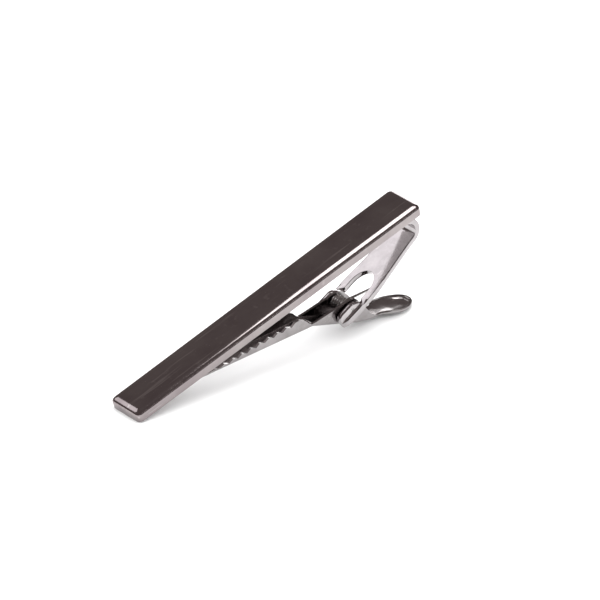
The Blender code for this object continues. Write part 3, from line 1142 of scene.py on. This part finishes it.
@dataclass
class JawLever(ClipPart):
    """One stamped channel: toothed jaw, boxed body and dished thumb paddle."""

    NAME = "jaw_lever_channel"
    NODE = "jaw_lever"
    SLOT = "gunmetal_lever"
    FINISH = GUNMETAL_LEVER
    BODY = Body.LEVER
    SHARP = 42.0

    sheet: float = 0.42
    floor: Profile = (
        (7.0, -0.66), (34.0, -6.86), (35.1, -7.05), (40.5, -10.45), (43.0, -12.1),
        (47.0, -13.95), (50.0, -15.3), (52.4, -16.2), (54.3, -16.55),
    )
    wall_top: Profile = (
        (14.6, -1.98), (33.2, -4.27), (34.1, -5.0), (34.75, -6.2), (34.95, -6.45), (35.2, -6.45),
        (35.7, -6.55), (39.0, -6.8), (43.1, -7.1), (43.8, -7.5), (44.6, -9.0), (45.4, -11.1),
        (46.0, -12.4), (46.7, -13.25), (47.6, -13.5), (48.9, -13.75), (50.6, -14.5),
        (52.4, -15.2), (54.3, -15.7),
    )
    half: Profile = (
        (7.0, 0.75), (7.35, 1.1), (14.0, 1.3), (33.0, 1.75), (36.0, 1.85), (45.0, 1.85),
        (46.9, 1.6), (47.6, 1.62),
    )
    half_ease: float = 0.2
    floor_ease: float = 0.25
    wall_ease: float = 0.12
    slope_reach: float = 0.3
    least_half: float = 0.25
    least_inner: float = 0.1
    paddle_centre: float = 50.65
    paddle_long: float = 3.65
    paddle_half: float = 2.7
    channel_round: float = 0.55
    paddle_round: float = 0.6
    paddle_rise: float = 0.5
    round_most: Span = (0.85, 0.9)
    inner_most: Span = (0.85, 0.8)
    inner_least: Span = (0.15, 0.12)
    inner_drop: float = 0.3
    paddle_from: Span = (46.0, 49.0)
    bowl_from: Span = (47.2, 48.8)
    bowl_share: Span = (0.97, 0.9)
    lip: float = 0.05
    lip_close: Span = (0.75, 0.5)
    skin: float = 0.03
    tooth_first: float = 16.6
    tooth_pitch: float = 1.75
    tooth_count: int = 9
    tooth_deep: float = 0.45
    tooth_edge: float = 0.06
    arc_steps: int = 10
    tip_stations: tuple[float, ...] = (7.0, 7.08, 7.2, 7.35, 14.6, 14.9, 15.6, 16.2)
    even_stations: tuple[tuple[float, float, int], ...] = (
        (8.0, 14.4, 8), (32.6, 36.0, 34), (36.0, 43.0, 22), (43.0, 48.0, 50), (48.0, 50.65, 14),
    )

    def paddle(self, x: float) -> float:
        """Returns half the thumb paddle's width at x, nothing outside it."""
        reach = (x - self.paddle_centre) / self.paddle_long
        return self.paddle_half * math.sqrt(max(1.0 - reach * reach, 0.0))

    def outer(self, x: float) -> float:
        """Returns half the lever's outer width at x."""
        if x > self.paddle_centre:
            return max(self.paddle(x), self.least_half)
        return max(eased(self.half, x, self.half_ease), self.paddle(x))

    def tooth(self, x: float) -> float:
        """Measures the jaw's teeth.

        Args:
            x: Where along the bar.

        Returns:
            How deep the wall's top is notched there.
        """
        place = (x - self.tooth_first) / self.tooth_pitch
        if place < 0.0 or place > self.tooth_count:
            return 0.0
        return self.tooth_deep * (1.0 - abs(2.0 * (place % 1.0) - 1.0))

    def heights(self, x: float) -> tuple[float, float, float]:
        """Measures the channel up and down.

        Args:
            x: Where along the bar.

        Returns:
            The heights of the floor's underside and the walls' tops, and the floor's thickness.
        """
        floor = eased(self.floor, x, self.floor_ease)
        rise = along(self.floor, x + self.slope_reach) - along(self.floor, x - self.slope_reach)
        thick = self.sheet * math.hypot(1.0, rise / (2.0 * self.slope_reach))
        top = floor + thick + self.lip
        if x > self.wall_top[0][0]:
            top = max(top, eased(self.wall_top, x, self.wall_ease) - self.tooth(x))
        return floor, top, thick

    def ring(self, x: float) -> Ring:
        """Crosses the lever's U section.

        Args:
            x: Where along the bar.

        Returns:
            The section as one ring of points: round its outside, then back round its inside.
        """
        floor, top, thick = self.heights(x)
        outer = self.outer(x)
        inner = max(outer - self.sheet, self.least_inner)
        share = smooth((x - self.paddle_from[0]) / (self.paddle_from[1] - self.paddle_from[0]))
        wide = self.channel_round + (self.paddle_round * outer - self.channel_round) * share
        wide = min(wide, self.round_most[0] * outer)
        high = min(self.channel_round + self.paddle_rise * share, self.round_most[1] * (top - floor))
        lip_start, lip_run = self.lip_close
        closing = smooth((x - self.paddle_centre - self.paddle_long + lip_start) / lip_run)
        thick += (top - floor - thick - self.skin) * closing
        depth = top - floor - thick
        bowl = smooth((x - self.bowl_from[0]) / (self.bowl_from[1] - self.bowl_from[0]))
        inner_wide = max(wide - self.sheet, self.inner_least[0])
        inner_wide = min(inner_wide, self.inner_most[0] * inner)
        inner_wide += (self.bowl_share[0] * inner - inner_wide) * bowl
        inner_high = max(high - self.inner_drop * self.sheet, self.inner_least[1])
        inner_high = min(inner_high, self.inner_most[1] * depth)
        inner_high += (self.bowl_share[1] * depth - inner_high) * bowl
        out = [(outer, top)]
        within = [(inner, top)]
        for angle in spaced(0.0, math.pi / 2, self.arc_steps):
            across, down = 1.0 - math.cos(angle), 1.0 - math.sin(angle)
            out.append((outer - wide * across, floor + high * down))
            within.append((inner - inner_wide * across, floor + thick + inner_high * down))
        ring = out + [(-y, z) for y, z in reversed(out)]
        ring += [(-y, z) for y, z in within] + list(reversed(within))
        return [Vector((x, y, z)) for y, z in ring]

    def stations(self) -> list[float]:
        """Lists where the sections are taken.

        Returns:
            Places along the bar, from the jaw's tip to the paddle's end.
        """
        made = list(self.tip_stations)
        for start, stop, count in self.even_stations:
            made += spaced(start, stop, count)
        for i in range(2 * self.tooth_count + 1):
            x = self.tooth_first + self.tooth_pitch * i / 2
            made += [x - self.tooth_edge, x, x + self.tooth_edge]
        made += [self.paddle_centre + self.paddle_long * math.sin(turn) for turn in arc(6.0, 86.0, 20)]
        return sorted(set(round(x, 4) for x in made))

    def mesh(self) -> bpy.types.Mesh:
        """Returns the lever's mesh, lofted through its sections."""
        return loft(self.NAME, [self.ring(x) for x in self.stations()])


# ---- The studio ----


@dataclass(frozen=True)
class Softbox:
    """A rectangular light aimed at the clip."""

    name: str
    direction: tuple[float, float, float]
    distance: float
    width: float
    height: float
    watts: float
    tint: Colour = (1.0, 1.0, 1.0)
    turn: float = 0.0

    def build(self, target: Vector) -> None:
        """Adds the light.

        Args:
            target: The point that it faces.
        """
        data = bpy.data.lights.new(self.name, "AREA")
        data.shape = "RECTANGLE"
        data.size = self.width
        data.size_y = self.height
        data.energy = self.watts
        data.color = self.tint
        lamp = bpy.data.objects.new(self.name, data)
        bpy.context.scene.collection.objects.link(lamp)
        way = Vector(self.direction).normalized()
        lamp.location = target + way * self.distance
        lamp.rotation_mode = "QUATERNION"
        roll = Quaternion((0.0, 0.0, 1.0), math.radians(self.turn))
        lamp.rotation_quaternion = (-way).to_track_quat("-Z", "Y") @ roll


@dataclass
class Studio:
    """The pale floor, the soft lights, the dark room and the camera."""

    floor_half: float = 1.6
    paper: Colour = (0.93, 0.93, 0.93)
    paper_rough: float = 0.9
    target: tuple[float, float, float] = (-0.003464, -0.011982, 0.016512)
    toward_camera: tuple[float, float, float] = (-0.553, -0.681, 0.479)
    distance: float = 1.2
    frame_width: float = 0.09172
    roll: float = -0.34
    sensor: float = 36.0
    clip: Span = (0.01, 20.0)
    tent: Colour = (1.6, 1.6, 1.6)
    walls: Colour = (0.205, 0.175, 0.172)
    lights: tuple[Softbox, ...] = (
        Softbox("overhead_box", (0.34, 0.14, 1.0), 0.17, 0.085, 0.085, 0.10, turn=45.0),
        Softbox("back_left_box", (-0.34, 0.70, 0.66), 0.9, 0.44, 0.45, 1.05, (0.975, 0.975, 1.0)),
        Softbox("back_right_box", (0.72, 0.68, 0.20), 0.9, 0.17, 0.14, 0.30),
        Softbox("front_strip", (0.26, -0.80, 0.53), 0.9, 0.5, 0.035, 0.16),
    )

    def floor(self) -> None:
        """Lays a pale matt floor under the clip."""
        shape = bmesh.new()
        bmesh.ops.create_grid(shape, x_segments=1, y_segments=1, size=self.floor_half)
        mesh = bpy.data.meshes.new("studio_floor")
        shape.to_mesh(mesh)
        shape.free()
        shader = Shader("pale_paper")
        matt = {"Base Color": (*self.paper, 1.0), "Roughness": self.paper_rough}
        surface = shader.raw("ShaderNodeBsdfPrincipled", {}, matt)
        shader.raw("ShaderNodeOutputMaterial", {}, {"Surface": surface.outputs[0]})
        mesh.materials.append(shader.material)
        floor = bpy.data.objects.new("studio_floor", mesh)
        bpy.context.scene.collection.objects.link(floor)

    def room(self) -> None:
        """Sets a light tent for matt surfaces, whose dark walls are what polished metal mirrors."""
        world = bpy.data.worlds.new("light_tent")
        world.use_nodes = True
        tree = world.node_tree
        background = tree.nodes["Background"]
        rays = tree.nodes.new("ShaderNodeLightPath")
        shade = tree.nodes.new("ShaderNodeMix")
        shade.data_type = "RGBA"
        shade.inputs[6].default_value = (*self.tent, 1.0)
        shade.inputs[7].default_value = (*self.walls, 1.0)
        tree.links.new(rays.outputs["Is Glossy Ray"], shade.inputs[0])
        tree.links.new(shade.outputs[2], background.inputs["Color"])
        bpy.context.scene.world = world

    def camera(self) -> None:
        """Sets the camera on the line of view, far enough for a nearly parallel one."""
        data = bpy.data.cameras.new("view")
        data.sensor_width = self.sensor
        data.lens = self.sensor * self.distance / self.frame_width
        data.clip_start, data.clip_end = self.clip
        camera = bpy.data.objects.new("view", data)
        bpy.context.scene.collection.objects.link(camera)
        way = Vector(self.toward_camera).normalized()
        camera.location = Vector(self.target) + way * self.distance
        camera.rotation_mode = "QUATERNION"
        roll = Quaternion((0.0, 0.0, 1.0), math.radians(self.roll))
        camera.rotation_quaternion = (-way).to_track_quat("-Z", "Y") @ roll
        bpy.context.scene.camera = camera

    def build(self) -> None:
        """Builds the whole studio."""
        self.floor()
        self.room()
        self.camera()
        for light in self.lights:
            light.build(Vector(self.target))
        bpy.context.scene.view_settings.view_transform = "Standard"
        bpy.context.scene.view_settings.look = "None"


def corners(box: Iterable[Vector]) -> list[list[float]]:
    """Returns a box's two corners as plain lists."""
    return [list(corner) for corner in box]


def main() -> None:
    """Builds the clip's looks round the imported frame, then the studio."""
    logging.basicConfig(level=logging.INFO, format="%(name)s %(message)s")
    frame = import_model()
    pin = PivotPin()
    place = RestPlace.from_frame(frame, pin.x, pin.z)
    FrontBar().build(place)
    BridgeArm().build(place)
    BrazeSeam().build(place)
    pin.build(place)
    TorsionSpring().build(place)
    JawLever().build(place)
    Studio().build()


if __name__ == "__main__":
    main()
